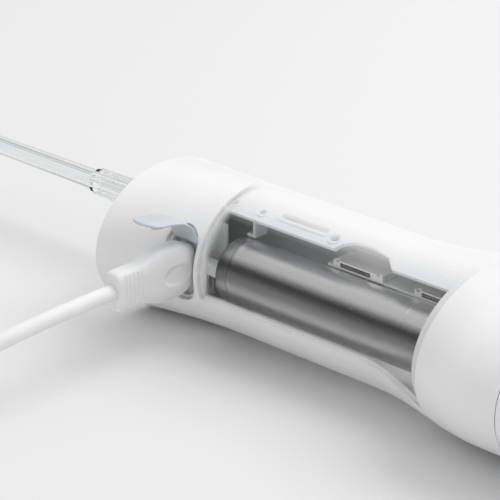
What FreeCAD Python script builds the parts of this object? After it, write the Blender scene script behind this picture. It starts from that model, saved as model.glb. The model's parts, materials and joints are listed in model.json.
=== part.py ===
import FreeCAD, Part
import math
import os
from FreeCAD import Vector as V

# Cordless water-jet ear cleaner with its charging lead plugged in, in mm. It lies on its side.
# X runs from the spray tip (-X) to the base (+X), the charging port faces -Y and +Z is up.
# While it is drawn, x = 0 is the head's rim and y = 0, z = 0 is the handle's axis. The last step
# moves everything so that the origin is under the middle of the object, on the surface it lies on.

# handle and casings
body_r = 21.0            # round middle of the handle
head_flare = 40.0        # length over which the head opens into an oval
head_spread = 6.4        # how much wider than the handle each side of the head is, on average
head_shift = 2.8         # the head's oval leans towards the port
base_start = 88.0        # where the handle starts to widen into the base
base_flare = 47.0
base_spread = 13.4
base_lift = 1.5          # the base's oval is this much taller, and stays level underneath
front_end = 31.0         # joint between the front casing and the clear sleeve
sleeve_end = 117.0       # joint between the clear sleeve and the rear casing
rear_end = 146.0         # joint between the rear casing and the tank
base_end = 180.0
front_wall = 1.6
sleeve_wall = 1.5
rear_wall = 1.8
rim_long = 2.3           # bevel round the head's rim
rim_deep = 0.9
cap_thick = 2.4
cap_inset = 0.6          # the head cap sits this far inside the rim
seat_gap = 0.1           # between pieces that are fixed one inside the other
move_gap = 0.3           # between pieces that move past each other
run_gap = 0.05           # radial clearance of a running fit

# tip and its socket
tip_y = 8.0
tip_z = 1.0
stem_r = 3.0
stem_depth = 10.0
collar_r = 3.4
collar_flare = 0.6       # how much wider the collar is at the dial
rib_r = 0.75
rib_count = 12
collar_end = -41.5
tube_r = 3.1
tube_end_r = 2.75
nozzle_r = 1.7
nozzle_long = 12.0
tip_end = -102.0
tip_bore = 1.3
dial_r = 7.4
dial_long = 6.6
dial_grips = 16
dial_shank_r = 5.0
dial_shank_end = 6.0
socket_r = 6.6
socket_end = 12.0
seal_x = 8.4
seal_wide = 1.2
seal_deep = 0.55
spout_r = 1.5
spout_bore = 0.9

# pump and motor, in line behind the tip
drive_y = 9.8
drive_z = -1.0
drive_r = 9.0            # outside of the damper sleeve
damper_wall = 0.8
damper_lead = 1.7        # the sleeve starts this far ahead of the pump
pump_start = 15.5
pump_end = 30.0
diaphragm_thick = 3.0
frame_end = 56.0
frame_wall = 1.2
motor_end = 78.0
motor_r = 7.7
endcap_thick = 3.0
shaft_r = 1.0
wobble_x = 38.0
wobble_thick = 2.5
wobble_r = 5.6
cam_start = 47.0
cam_end = 53.0
cam_r = 4.0
cam_offset = 1.2
crank_r = 0.8
crank_gap = 0.3          # the crank pin stops this far short of the wobble plate

# water line
hose_y = 2.0
hose_z = -13.0
hose_r = 2.2
hose_bore = 1.5
hose_lap = 4.0
suction_end = 172.0
filter_r = 3.4
filter_long = 8.0

# cell and its fittings
cell_y = -9.0
cell_r = 9.2
cell_front = 34.8
cell_long = 65.0
groove_at = 4.2
groove_wide = 0.9
groove_deep = 0.4
tab_thick = 0.2
cup_wall = 0.8

# chassis and bulkhead
chassis_r = 19.1
chassis_wall = 1.2
chassis_front = 28.5
chassis_low = 60.0       # degrees up from the port side
chassis_high = 152.0
chassis_tab = 6.0
bulkhead_x = 113.0
bulkhead_thick = 3.0
boss_high = 0.18

# boards and connectors
board_thick = 1.0
power_board_z = 8.45
block_long = 17.5
block_wide = 7.0
block_high = 1.9
block_y = -5.0
block_starts = (66.5, 95.0)
rail_deep = 0.35
control_y = 21.0
control_front = 116.4
control_half_high = 10.0
deck_end = 141.6
deck_thick = 3.0
switch_side = 6.0
switch_high = 2.2
switch_knob = 0.85

# buttons and light
power_x = 123.0
power_r = 4.5
mode_x = 133.0
mode_r = 3.2
flange_wide = 0.8
flange_thick = 1.0
button_proud = 0.9
button_gap = 0.2
button_travel = 0.8
button_slack = 0.1       # between a switch and its button pressed home
light_x = 128.2
light_up = 7.0

# charging port
port_x = 24.6
port_z = 2.2
port_wide = 10.4
port_high = 21.8
port_lip = 1.1
flap_thick = 1.0
port_floor_y = -17.4
port_floor = 1.2
hinge_y = -18.6
hinge_z = 9.3
pin_r = 0.5
barrel_r = 1.15
neck_wide = 4.4
leaf_high = 15.6
flap_open = 107.0        # degrees from shut
receptacle_end = -10.0
usb_wide = 8.9
usb_high = 3.1

# charging lead
plug_z = 1.6
plug_rear = -47.0
shell_end = -12.0
shell_wide = 8.3
shell_high = 2.5
grip_grooves = 5
groove_pitch = 1.5
cord_d = 4.5
coil_r = 24.75
coil_turn = 4.5
coil_x = -42.0
coil_y = -90.0
tie_wide = 6.0
tie_thick = 0.8
far_wide = 15.6
far_high = 8.0
far_long = 24.0
far_shell_wide = 12.0
far_shell_high = 4.5
far_shell_long = 17.0

# tank
tank_wall = 1.8
tank_round = 6.0
spigot_wall = 1.3
seal_thick = 0.5
pad_thick = 1.2
lid_x = 158.0
lid_long = 20.0
lid_wide = 14.0
lid_thick = 0.9
lid_ledge = 2.0
lid_plug_high = 1.7
lid_slack = 0.6
lid_pin_r = 0.6
knuckle_r = 1.3
lid_hinge_back = 1.7

floor_z = -body_r
cord_z = floor_z + cord_d / 2 + 0.05
# The lead from the plug to the coil: it leaves straight, sags to the surface and turns in.
cord_route = [
    (port_x, plug_rear, plug_z),
    (port_x - 0.1, plug_rear - 16, plug_z - 0.3),
    (port_x - 0.6, plug_rear - 36, plug_z - 1.7),
    (port_x - 4.6, plug_rear - 57, plug_z - 6.6),
    (port_x - 17.6, plug_rear - 73, plug_z - 14.0),
    (port_x - 37.6, plug_rear - 78, cord_z + 0.6),
    (port_x - 55.6, plug_rear - 75.2, cord_z),
    (coil_x, coil_y - coil_r - coil_turn, cord_z),
]


def cyl(r, x0, x1, y=0.0, z=0.0):
    return Part.makeCylinder(r, x1 - x0, V(x0, y, z), V(1, 0, 0))


def pipe(r, bore, x0, x1, y=0.0, z=0.0):
    return cyl(r, x0, x1, y, z).cut(cyl(bore, x0 - 1, x1 + 1, y, z))


def cyl_y(r, y0, y1, x, z):
    return Part.makeCylinder(r, y1 - y0, V(x, y0, z), V(0, 1, 0))


def block(x0, x1, y0, y1, z0, z1):
    return Part.makeBox(x1 - x0, y1 - y0, z1 - z0, V(x0, y0, z0))


def fuse(first, *others):
    return first.multiFuse(list(others)).removeSplitter()


def slot_face(wide, long):
    """A slot of round ends in the XY plane, long along Y, centred on the origin."""
    r = wide / 2
    h = long / 2 - r
    right = Part.LineSegment(V(r, -h, 0), V(r, h, 0))
    top = Part.Arc(V(r, h, 0), V(0, h + r, 0), V(-r, h, 0))
    left = Part.LineSegment(V(-r, h, 0), V(-r, -h, 0))
    foot = Part.Arc(V(-r, -h, 0), V(0, -h - r, 0), V(r, -h, 0))
    return Part.Face(Part.Wire([g.toShape() for g in (right, top, left, foot)]))


def slot_y(wide, high, y0, y1, x, z):
    """A bar of slot section along Y, wide along X and high along Z."""
    face = slot_face(wide, high)
    face.rotate(V(0, 0, 0), V(1, 0, 0), 90)
    face.translate(V(x, y0, z))
    return face.extrude(V(0, y1 - y0, 0))


def slot_z(long, wide, z0, z1, x, y):
    """A bar of slot section along Z, long along X and wide along Y."""
    face = slot_face(wide, long)
    face.rotate(V(0, 0, 0), V(0, 0, 1), 90)
    face.translate(V(x, y, z0))
    return face.extrude(V(0, 0, z1 - z0))


def ease(t):
    t = min(max(t, 0.0), 1.0)
    return t * t * (3 - 2 * t)


def section(x):
    """Half width, half height, centre y and centre z of the outer skin at x."""
    head = max(0.0, 1 - x / head_flare) ** 2
    base = ease((x - base_start) / base_flare)
    half_wide = body_r + head_spread * head + base_spread * base
    return half_wide, body_r + base_lift * base, -head_shift * head, base_lift * base


def ellipse(x, half_wide, half_high, y, z):
    """An upright ellipse across X. Its width stays a hair over its height, so its seam is at +Y."""
    half_wide = max(half_wide, half_high + 0.001)
    return Part.Wire([Part.Ellipse(V(x, y + half_wide, z), V(x, y, z + half_high), V(x, y, z)).toShape()])


def oval(x, inset):
    half_wide, half_high, y, z = section(x)
    return ellipse(x, half_wide - inset, half_high - inset, y, z)


def skin(x0, x1, inset, end_round=0.0):
    """The solid inside the outer skin moved in by inset, with its far end rounded if asked."""
    count = max(2, math.ceil((x1 - x0 - end_round) / 5))
    stations = [(x0 + (x1 - end_round - x0) * i / count, inset) for i in range(count + 1)]
    turns = (15, 30, 45, 60, 75, 90) if end_round else ()
    for turn in turns:
        along = end_round * math.sin(math.radians(turn))
        inward = end_round * (1 - math.cos(math.radians(turn)))
        stations.append((x1 - end_round + along, inset + inward))
    return Part.makeLoft([oval(x, i) for x, i in stations], True, False)


def shell(x0, x1, wall):
    return skin(x0, x1, 0).cut(skin(x0 - 1, x1 + 1, wall))


def half_width(x, inset, z=0.0):
    """How far the skin reaches on the button side at x and height z."""
    half_wide, half_high, y, middle = section(x)
    rise = (z - middle) / (half_high - inset)
    return y + (half_wide - inset) * math.sqrt(1 - rise * rise)


def on_chassis(shape, angle):
    """Turns a shape drawn at the top of the chassis to its angle up from the port side."""
    shape.rotate(V(0, 0, 0), V(1, 0, 0), 90 - angle)
    return shape


# ---- casings ----
def front_casing():
    body = shell(0, front_end, front_wall)
    body = body.cut(slot_y(port_wide, port_high, -35, -8, port_x, port_z))
    ring = Part.makeLoft([oval(-1, -3), oval(rim_long, -3)], True, True)
    slope = rim_deep / rim_long
    cone = Part.makeLoft([oval(-1, rim_deep + slope), oval(rim_long, 0)], True, True)
    return body.cut(ring.cut(cone))


def head_cap():
    plate = skin(cap_inset, cap_inset + cap_thick, front_wall + seat_gap)
    return plate.cut(cyl(socket_r + seat_gap, -1, 9, tip_y, tip_z))


def window_sleeve():
    return shell(front_end, sleeve_end, sleeve_wall)


def screw_spots():
    """Places of the deck's screws, inside the rear casing's wall."""
    half_wide, half_high, _, z = section(deck_end)
    return [(s * half_wide * 0.5, z + t * half_high * 0.58) for s in (-1, 1) for t in (-1, 1)]


def rear_casing():
    body = shell(sleeve_end, rear_end, rear_wall)
    outside = skin(sleeve_end, rear_end, rear_wall / 2)
    for y, z in screw_spots():
        reach = 30 if y > 0 else -30
        post = cyl(2.6, deck_end - deck_thick - 8, deck_end - deck_thick, y, z)
        rib = block(deck_end - deck_thick - 8, deck_end - deck_thick, min(y, y + reach),
                    max(y, y + reach), z - 0.7, z + 0.7)
        post = post.fuse(rib).common(outside)
        post = post.cut(cyl(0.9, deck_end - deck_thick - 7, deck_end, y, z))
        body = body.fuse(post)
    for x, r in ((power_x, power_r), (mode_x, mode_r)):
        body = body.cut(cyl_y(r + button_gap, 20, 40, x, base_lift))
    body = body.cut(cyl_y(0.9, 20, 40, light_x, base_lift + light_up))
    return body.removeSplitter()


def tank_deck():
    plate = skin(deck_end - deck_thick, deck_end, rear_wall + seat_gap)
    plate = plate.cut(cyl(hose_bore, 100, 150, hose_y, hose_z))
    for y, z in screw_spots():
        plate = plate.cut(cyl(1.15, 100, 150, y, z))
    return plate


def deck_screws():
    screws = []
    for y, z in screw_spots():
        head = cyl(1.9, deck_end, deck_end + 1.2, y, z)
        cross = block(deck_end + 0.6, deck_end + 2, y - 1.1, y + 1.1, z - 0.25, z + 0.25)
        other = block(deck_end + 0.6, deck_end + 2, y - 0.25, y + 0.25, z - 1.1, z + 1.1)
        shank = cyl(0.9, deck_end - deck_thick - 6, deck_end, y, z)
        screws.append(head.fuse(shank).cut(cross.fuse(other)))
    return Part.makeCompound(screws)


def tank_seal():
    ring = skin(deck_end, deck_end + seal_thick, rear_wall + move_gap)
    return ring.cut(skin(deck_end - 1, deck_end + 2, rear_wall + move_gap + spigot_wall))


# ---- tank ----
def lid_top():
    return body_r + 2 * base_lift


def water_tank():
    front = rear_end + move_gap
    spigot_inset = rear_wall + move_gap
    spigot = skin(deck_end + seal_thick + move_gap, front + 1, spigot_inset)
    body = skin(front, base_end, 0, tank_round).fuse(spigot)
    body = body.cut(skin(front + 3, base_end - tank_wall, tank_wall, tank_round - tank_wall))
    body = body.cut(skin(deck_end, front + 4, spigot_inset + spigot_wall))
    ledge = slot_z(lid_long - 2 * lid_ledge + 2 * lid_slack, lid_wide - 2 * lid_ledge + 2 * lid_slack,
                   10, 30, lid_x, 0)
    seat = slot_z(lid_long + 2 * move_gap, lid_wide + 2 * move_gap, 10, 30, lid_x, 0)
    seat = seat.cut(skin(rear_end, base_end - tank_round, lid_thick + 0.1))
    x, z = lid_hinge()
    body = body.cut(ledge.fuse(seat))
    for side in (-1, 1):
        ear = Part.makeCylinder(knuckle_r, 2.4, V(x, min(side * 3.1, side * 5.5), z), V(0, 1, 0))
        foot = block(x - knuckle_r, x + knuckle_r, min(side * 3.1, side * 5.5),
                     max(side * 3.1, side * 5.5), lid_top() - 1.2, z)
        body = body.fuse(ear.fuse(foot))
    body = body.cut(Part.makeCylinder(lid_pin_r, 40, V(x, -20, z), V(0, 1, 0)))
    return body.removeSplitter()


def lid_hinge():
    return lid_x + lid_long / 2 + lid_hinge_back, lid_top() + knuckle_r + move_gap


def fill_lid():
    plate = slot_z(lid_long, lid_wide, 10, 30, lid_x, 0)
    plate = plate.common(skin(rear_end, base_end - tank_round, 0))
    plate = plate.cut(skin(rear_end, base_end - tank_round, lid_thick))
    x, z = lid_hinge()
    barrel = Part.makeCylinder(knuckle_r, 5.6, V(x, -2.8, z), V(0, 1, 0))
    edge = lid_x + lid_long / 2 - 1
    arm = block(x - 7, edge, -2.8, 2.8, lid_top() - 0.1, lid_top() + 1.2)
    arm = arm.fuse(block(edge - 1, x, -2.8, 2.8, lid_top() + move_gap, lid_top() + 1.2))
    pull = slot_z(6.0, 2.2, lid_top() - 0.5, lid_top() + 0.7, lid_x - lid_long / 2 + 4, 0)
    body = fuse(plate, barrel, arm, pull)
    return body.cut(Part.makeCylinder(lid_pin_r + run_gap, 40, V(x, -20, z), V(0, 1, 0)))


def fill_lid_pin():
    x, z = lid_hinge()
    return Part.makeCylinder(lid_pin_r, 11.0, V(x, -5.5, z), V(0, 1, 0))


def lid_seal():
    top = skin(rear_end, base_end - tank_round, lid_thick)
    low = skin(rear_end, base_end - tank_round, lid_thick + lid_plug_high)
    ring = slot_z(lid_long - 2 * lid_ledge, lid_wide - 2 * lid_ledge, 10, 30, lid_x, 0)
    ring = ring.cut(slot_z(lid_long - 2 * lid_ledge - 3, lid_wide - 2 * lid_ledge - 3, 9, 31, lid_x, 0))
    return ring.common(top).cut(low)


def base_pad():
    half_wide, half_high, y, z = section(base_end)
    pads = []
    for inset in (tank_round + 1.5, tank_round + 7.5):
        wire = ellipse(base_end, half_wide - inset, half_high - inset, y, z)
        pads.append(Part.Face(wire).extrude(V(pad_thick, 0, 0)))
    return pads[0].cut(pads[1])


# ---- tip ----
def tip_nozzle():
    front = -cap_inset - dial_long
    profile = [
        V(stem_depth, tip_bore, 0), V(stem_depth, stem_r - 0.4, 0), V(stem_depth - 0.6, stem_r, 0),
        V(seal_x + seal_wide, stem_r, 0), V(seal_x + seal_wide, stem_r - seal_deep, 0),
        V(seal_x, stem_r - seal_deep, 0), V(seal_x, stem_r, 0), V(front, stem_r, 0),
        V(front, collar_r + collar_flare, 0), V(collar_end + 1.0, collar_r, 0), V(collar_end, tube_r, 0),
        V(tip_end + nozzle_long, tube_end_r, 0), V(tip_end + 1.0, nozzle_r, 0),
        V(tip_end, nozzle_r - 0.7, 0), V(tip_end, tip_bore * 0.45, 0),
        V(tip_end + nozzle_long * 0.6, tip_bore, 0),
    ]
    face = Part.Face(Part.makePolygon(profile + profile[:1]))
    body = face.revolve(V(0, 0, 0), V(1, 0, 0), 360)
    ribs = []
    for i in range(rib_count):
        turn = 2 * math.pi * i / rib_count
        outward = V(0, math.cos(turn), math.sin(turn))
        low = V(collar_end + 1.8, 0, 0) + outward * (collar_r - 0.2)
        high = V(front - 1.5, 0, 0) + outward * (collar_r + collar_flare - 0.2)
        rib = Part.makeCylinder(rib_r, (high - low).Length, low, high - low)
        ribs.append(rib.multiFuse([Part.makeSphere(rib_r, low), Part.makeSphere(rib_r, high)]))
    body = body.multiFuse(ribs)
    body = body.cut(cyl(stem_r - 0.6, collar_end + 2, front - 2).cut(cyl(tip_bore + 0.7, -90, 20)))
    body.translate(V(0, tip_y, tip_z))
    return body


def tip_seal_ring():
    inner = stem_r - seal_deep
    ring = pipe(stem_r + run_gap / 2, inner, seal_x + 0.05, seal_x + seal_wide - 0.05, tip_y, tip_z)
    return ring.makeFillet(0.2, [e for e in ring.Edges if abs(e.Length - 2 * math.pi * inner) > 1.0
                                 and len(e.Vertexes) == 1])


def tip_dial():
    front = -cap_inset - dial_long
    rim = cyl(dial_r, front, -cap_inset, tip_y, tip_z)
    rim = rim.makeChamfer(0.8, [e for e in rim.Edges if e.BoundBox.XMax < front + 0.01])
    for i in range(dial_grips):
        turn = 2 * math.pi * i / dial_grips
        y = tip_y + (dial_r + 0.5) * math.cos(turn)
        z = tip_z + (dial_r + 0.5) * math.sin(turn)
        rim = rim.cut(cyl(0.9, front - 1, -cap_inset - 1.2, y, z))
    shank = cyl(dial_shank_r, -cap_inset, dial_shank_end, tip_y, tip_z)
    return rim.fuse(shank).cut(cyl(stem_r + run_gap, -20, 20, tip_y, tip_z)).removeSplitter()


def tip_socket():
    body = cyl(socket_r, cap_inset - 0.8, socket_end, tip_y, tip_z)
    body = body.fuse(cyl(socket_r + 1.8, cap_inset + cap_thick, cap_inset + cap_thick + 1.4, tip_y, tip_z))
    body = body.cut(cyl(dial_shank_r + run_gap, -5, dial_shank_end + move_gap, tip_y, tip_z))
    body = body.cut(cyl(stem_r + run_gap, 0, socket_end - 1.4, tip_y, tip_z))
    body = body.fuse(cyl(spout_r, socket_end, pump_start - 1, tip_y, tip_z))
    return body.cut(cyl(spout_bore, 0, pump_start, tip_y, tip_z)).removeSplitter()


# ---- pump and motor ----
def drive(r, x0, x1, y=0.0, z=0.0):
    return cyl(r, x0, x1, drive_y + y, drive_z + z)


def pump_body():
    head = drive(drive_r - damper_wall - 0.2, pump_start, pump_end)
    head = head.makeFillet(0.8, [e for e in head.Edges if abs(e.BoundBox.XMax - pump_start) < 0.01])
    drop = Part.makeCylinder(hose_r, -hose_z, V(pump_start + 5, hose_y + 3, hose_z), V(0, 0, 1))
    elbow = Part.makeSphere(hose_r, V(pump_start + 5, hose_y + 3, hose_z))
    cross = Part.makeCylinder(hose_r, 3, V(pump_start + 5, hose_y, hose_z), V(0, 1, 0))
    turn = Part.makeSphere(hose_r, V(pump_start + 5, hose_y, hose_z))
    spigot = cyl(hose_bore, pump_start + 5, pump_start + 12, hose_y, hose_z)
    body = fuse(head, drop, elbow, cross, turn, spigot)
    body = body.cut(cyl(hose_bore - 0.6, pump_start + 5, pump_start + 13, hose_y, hose_z))
    body = body.cut(cyl(spout_r + 0.7, pump_start - 2, pump_start + 3, tip_y, tip_z))
    chambers = []
    for i in range(3):
        turn = math.radians(90 + 120 * i)
        chambers.append(drive(2.4, pump_end - 4, pump_end + 1, 4.3 * math.cos(turn), 4.3 * math.sin(turn)))
    return body.cut(chambers[0].multiFuse(chambers[1:]))


def diaphragm():
    disc = drive(drive_r - damper_wall - 0.2, pump_end, pump_end + diaphragm_thick / 2)
    cups = []
    for i in range(3):
        turn = math.radians(90 + 120 * i)
        y = 4.3 * math.cos(turn)
        z = 4.3 * math.sin(turn)
        cups.append(drive(2.4, pump_end, pump_end + diaphragm_thick, y, z))
        cups.append(drive(1.0, pump_end, wobble_x, y, z))
    return fuse(disc, *cups)


def pump_frame():
    """The open cage between the pump head and the motor."""
    r = drive_r - damper_wall - 0.2
    cage = drive(r, pump_end + diaphragm_thick / 2, frame_end)
    cage = cage.cut(drive(r - frame_wall, pump_end, frame_end - 1.5))
    cage = cage.cut(drive(2.0, pump_end, frame_end + 1))
    for turn in (0, 90):
        window = block(wobble_x - 4, frame_end - 6, -4, 4, -12, 12)
        window.rotate(V(0, 0, 0), V(1, 0, 0), turn)
        window.translate(V(0, drive_y, drive_z))
        cage = cage.cut(window)
    return cage.removeSplitter()


def wobble_plate():
    plate = drive(wobble_r, wobble_x, wobble_x + wobble_thick)
    hub = drive(2.2, wobble_x, cam_start - crank_gap - 2.2)
    return fuse(plate, hub)


def eccentric():
    wheel = drive(cam_r, cam_start, cam_end)
    notch = drive(cam_r + 1, cam_start - 1, cam_end - 2).cut(drive(cam_r, cam_start - 1, cam_end, 2.2))
    pin = drive(crank_r, cam_start - 1.5, cam_start + 1, cam_offset)
    return wheel.cut(notch).fuse(pin).cut(drive(shaft_r, cam_start + 1.5, cam_end + 1)).removeSplitter()


def motor_shaft():
    return drive(shaft_r, cam_start + 1.5, motor_end + endcap_thick - 0.6)


def motor_can():
    can = drive(motor_r, frame_end, motor_end)
    can = can.makeFillet(0.9, [can.Edges[0], can.Edges[2]])
    for side in (-1, 1):
        flat = block(frame_end - 1, motor_end + 1, drive_y - 12, drive_y + 12,
                     drive_z + side * (motor_r + 2.3) - 3, drive_z + side * (motor_r + 2.3) + 3)
        can = can.cut(flat)
    return can.cut(drive(shaft_r + run_gap, frame_end - 1, motor_end + 1))


def motor_endcap():
    cap = drive(motor_r - 0.8, motor_end, motor_end + endcap_thick)
    cap = cap.cut(drive(shaft_r + run_gap, motor_end - 1, motor_end + endcap_thick - 0.5))
    return cap


def damper_sleeve():
    x0 = pump_start - damper_lead
    sleeve = drive(drive_r, x0, motor_end - 1)
    sleeve = sleeve.makeFillet(0.7, [e for e in sleeve.Edges if e.BoundBox.XMax < x0 + 0.01])
    sleeve = sleeve.cut(drive(drive_r - damper_wall, x0 - 1, motor_end))
    reach = hose_r + 0.3
    inlet = slot_z(2 * reach, 2 * reach - 0.01, hose_z, drive_z, pump_start + 5, hose_y + 3)
    return sleeve.cut(inlet)


# ---- water line ----
def outlet_hose():
    return pipe(spout_r + 0.7, spout_r, socket_end, pump_start + 3, tip_y, tip_z)


def suction_hose():
    start = pump_start + 5 + hose_r + 0.3
    return pipe(hose_r, hose_bore, start, deck_end - deck_thick, hose_y, hose_z)


def suction_tube():
    start = deck_end - deck_thick - hose_lap
    return pipe(hose_bore, hose_bore - 0.5, start, suction_end - 2, hose_y, hose_z)


def suction_filter():
    cup = cyl(filter_r, suction_end - filter_long, suction_end, hose_y, hose_z)
    cup = cup.cut(cyl(filter_r - 0.8, suction_end - filter_long + 1.2, suction_end - 0.9, hose_y, hose_z))
    for i in range(6):
        slit = block(suction_end - filter_long + 2, suction_end - 2, -0.4, 0.4, 1.5, filter_r + 1)
        slit.rotate(V(0, 0, 0), V(1, 0, 0), 60 * i)
        slit.translate(V(0, hose_y, hose_z))
        cup = cup.cut(slit)
    return cup.cut(cyl(hose_bore, suction_end - filter_long - 1, suction_end - 1.5, hose_y, hose_z))


# ---- cell, chassis and boards ----
def cell():
    end = cell_front + cell_long
    can = cyl(cell_r, cell_front, end, cell_y)
    can = can.makeFillet(0.7, [can.Edges[0], can.Edges[2]])
    at = cell_front + groove_at
    ring = pipe(cell_r + 1, cell_r - groove_deep, at, at + groove_wide, cell_y)
    return can.cut(ring)


def cell_tab_front():
    face = block(cell_front - tab_thick, cell_front, cell_y - 6, cell_y + 3, -3, 1.5)
    strip = block(cell_front - 6, cell_front, -15.2, -13.0, -1.6, -1.1)
    leg = block(cell_front - 5.4, cell_front - 3.6, -15.0, -14.4, -6.6, -1.3)
    return fuse(face, strip, leg)


def cell_cup():
    """The turned cup that carries the cell's rear contact and reaches back to the bulkhead."""
    end = cell_front + cell_long
    cup = pipe(cell_r, cell_r - cup_wall, end, bulkhead_x, cell_y)
    return cup.fuse(cyl(cell_r - cup_wall, end, end + tab_thick, cell_y))


def terminal_block():
    body = block(cell_front - 8.2, cell_front - tab_thick, -16.0, -12.2, -1.1, 2.2)
    return body.makeFillet(1.5, [e for e in body.Edges if e.BoundBox.XMax < cell_front - 8
                                 and e.BoundBox.YLength > 1])


def cell_stop():
    foot = block(cell_front + 0.8, cell_front + groove_at - 0.4, -6.2, -1.4, cell_r + 0.1, cell_r + 0.9)
    wall = block(cell_front + groove_at - 1.2, cell_front + groove_at - 0.4, -6.2, -1.4, cell_r + 0.1, 20.0)
    return fuse(foot, wall).common(cyl(chassis_r - chassis_wall, 0, 90))


def sector(r, wall, x0, x1, low, high):
    """Part of a tube round the handle's axis, from angle low to high up from the port side."""
    face = Part.Face(Part.makePolygon([V(x0, -r, 0), V(x1, -r, 0), V(x1, wall - r, 0),
                                       V(x0, wall - r, 0), V(x0, -r, 0)]))
    face.rotate(V(0, 0, 0), V(1, 0, 0), -low)
    return face.revolve(V(0, 0, 0), V(-1, 0, 0), high - low)


def chassis():
    body = sector(chassis_r, chassis_wall, chassis_front, bulkhead_x, chassis_low, chassis_high)
    body = body.fuse(sector(chassis_r, chassis_wall, chassis_front - chassis_tab, chassis_front + 1, chassis_low + 2, chassis_low + 13))
    for x, r in ((31.0, 1.3), (42.0, 1.0), (68.5, 1.4)):
        boss = Part.makeCylinder(r + 0.8, chassis_wall + boss_high, V(x, 0, chassis_r - chassis_wall))
        hole = Part.makeCylinder(r, 6, V(x, 0, chassis_r - 4))
        body = body.fuse(on_chassis(boss, 70)).cut(on_chassis(hole, 70))
    rim = slot_z(19.4, 4.2, chassis_r - chassis_wall, chassis_r + boss_high, 56.5, 0)
    hole = slot_z(17.0, 1.9, chassis_r - 4, chassis_r + 2, 56.5, 0)
    body = body.fuse(on_chassis(rim, 74)).cut(on_chassis(hole, 74))
    # the arch over the first connector: a round rise, a long slope and a short drop
    rise = Part.Arc(V(70.5, -1, 0), V(72.6, 3.0, 0), V(77.5, 4.9, 0))
    edges = [rise.toShape()] + Part.makePolygon([V(77.5, 4.9, 0), V(80, 4.9, 0), V(87, 3.6, 0),
                                                 V(92, -1, 0), V(92, -8, 0), V(70.5, -8, 0),
                                                 V(70.5, -1, 0)]).Edges
    arch = Part.Face(Part.Wire(edges)).extrude(V(0, 0, 12))
    arch.translate(V(0, 0, chassis_r - 6))
    return body.cut(on_chassis(arch, chassis_low)).removeSplitter()


def bulkhead():
    plate = skin(bulkhead_x, bulkhead_x + bulkhead_thick, sleeve_wall + 0.2)
    plate = plate.cut(cyl(hose_r + 0.2, bulkhead_x - 1, bulkhead_x + 9, hose_y, hose_z))
    plate = plate.cut(cyl(4.0, bulkhead_x - 1, bulkhead_x + 9, drive_y, drive_z))
    return plate.cut(cyl(5.2, bulkhead_x - 1, bulkhead_x + 9, cell_y, 0))


def power_board():
    board = block(64, bulkhead_x, block_y + 0.5, body_r, power_board_z, power_board_z + board_thick - 0.3)
    return board.common(cyl(chassis_r - chassis_wall, 60, bulkhead_x + 1))


def connector(x0):
    z = power_board_z + board_thick - 0.3
    body = block(x0, x0 + block_long, block_y, block_y + block_wide, z, z + block_high)
    for end in (x0, x0 + block_long - 2.6):
        notch = block(end + 0.6, end + 2.0, block_y - 1, block_y + 0.9, z + block_high - 0.6, z + 4)
        body = body.cut(notch)
    body = body.cut(block(x0 + 2.4, x0 + block_long - 4.4, block_y - 1, block_y + rail_deep, z + 0.2,
                          z + block_high - 0.5))
    return body


def connector_rails():
    z = power_board_z + board_thick - 0.3
    rails = []
    for x0 in block_starts:
        for low, high in ((0.25, 0.6), (0.9, 1.3)):
            rails.append(block(x0 + 2.5, x0 + block_long - 4.5, block_y, block_y + rail_deep,
                               z + low, z + high))
    return Part.makeCompound(rails)


def control_board():
    x1 = deck_end - deck_thick
    board = block(control_front, x1, control_y, control_y + board_thick, -control_half_high,
                  control_half_high)
    for x, z in ((control_front + 3, 0), (x1 - 3, -6)):
        board = board.cut(cyl_y(1.1, control_y - 1, control_y + 3, x, z))
    return board


def tact_switches():
    y = control_y + board_thick
    half = switch_side / 2
    switches = []
    for x in (power_x, mode_x):
        can = block(x - half, x + half, y, y + switch_high, base_lift - half, base_lift + half)
        knob = cyl_y(1.7, y + switch_high, y + switch_high + switch_knob, x, base_lift)
        switches.append(can.fuse(knob))
    return Part.makeCompound(switches)


def button(x, r):
    edge = x - r - flange_wide
    inside = half_width(edge, rear_wall, base_lift + r + flange_wide) - move_gap
    top = half_width(x, 0, base_lift) + button_proud
    foot = control_y + board_thick + switch_high + switch_knob + button_travel + button_slack
    stem = cyl_y(r, min(foot, inside - flange_thick), top, x, base_lift)
    stem = stem.makeFillet(0.6, [e for e in stem.Edges if abs(e.BoundBox.YMin - top) < 0.01])
    return stem.fuse(cyl_y(r + flange_wide, inside - flange_thick, inside, x, base_lift)).removeSplitter()


def light_pipe():
    z = base_lift + light_up
    top = half_width(light_x, 0.1, z)
    return cyl_y(0.85, control_y + board_thick, top, light_x, z)


def lead(points, r):
    """A wire of round section along straight runs joined by tangent arcs."""
    edges, radii, total = rounded(points)
    wire = Part.Wire(edges)
    start = Part.Circle(V(*points[0]), V(*points[1]) - V(*points[0]), r).toShape()
    tube = wire.makePipeShell([Part.Wire([start])], True, False)
    return tube, radii, total


def rounded(points):
    """Edges of a path through the points' runs, each corner an arc of 0.45 of its shorter run."""
    p = [V(*q) for q in points]
    edges = []
    radii = []
    start = p[0]
    for a, b, c in zip(p[:-2], p[1:-1], p[2:]):
        back = (a - b).normalize()
        ahead = (c - b).normalize()
        half_turn = (math.pi - back.getAngle(ahead)) / 2
        cut = 0.45 * min((a - b).Length, (c - b).Length)
        radius = cut / math.tan(half_turn)
        enter = b + back * cut
        leave = b + ahead * cut
        bisector = (back + ahead).normalize()
        centre = b + bisector * (radius / math.cos(half_turn))
        middle = centre - bisector * radius
        edges.append(Part.LineSegment(start, enter).toShape())
        edges.append(Part.Arc(enter, middle, leave).toShape())
        radii.append(radius)
        start = leave
    edges.append(Part.LineSegment(start, p[-1]).toShape())
    return edges, radii, sum(e.Length for e in edges)


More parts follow.
